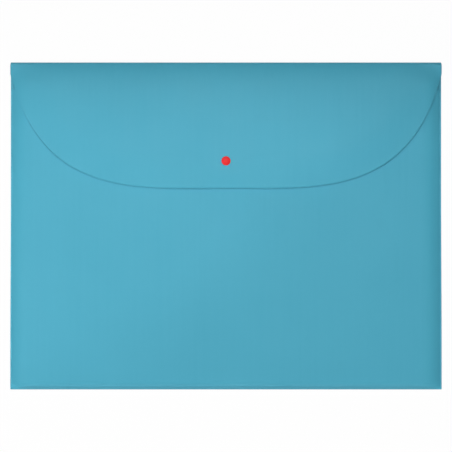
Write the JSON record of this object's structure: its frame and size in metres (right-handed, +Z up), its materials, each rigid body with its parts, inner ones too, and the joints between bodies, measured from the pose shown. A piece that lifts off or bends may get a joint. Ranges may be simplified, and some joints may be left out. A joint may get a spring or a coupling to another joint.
{
  "type": "plastic file folder",
  "caption": "Document wallet folded from plastic sheet: a flat pocket with welded sides, a broad rounded flap on a double-scored fold, and a small press stud closure.",
  "frame": {"origin": "under the middle of the back panel, on the surface the folder lies on", "axes": "+Z up out of the front of the folder, +Y towards the top fold, +X to the right as the closed folder is seen from the front"},
  "size_m": [0.33, 0.25, 0.0102],
  "materials": {
    "teal_sheet": "satin, fine moulded grain",
    "red_stud": "moulded, half gloss"
  },
  "bodies": {
    "pocket": {"back_panel": "teal_sheet", "front_panel": "teal_sheet", "base_strip": "teal_sheet", "left_weld_seam": "teal_sheet", "right_weld_seam": "teal_sheet", "snap_stud": "red_stud", "snap_stud_post": "red_stud"},
    "spine": {"spine_strip": "teal_sheet"},
    "flap": {"flap_panel": "teal_sheet", "snap_cap": "red_stud", "snap_socket": "red_stud"}
  },
  "joints": [
    {"name": "spine_fold", "type": "hinge", "parent": "pocket", "child": "spine", "pos_m": [0, 0.12446, 0.00054], "axis": [-1, 0, 0], "range_deg": [0, 90]},
    {"name": "flap_fold", "type": "hinge", "parent": "spine", "child": "flap", "pos_m": [0, 0.12405, 0.00315], "axis": [-1, 0, 0], "range_deg": [0, 73]}
  ]
}
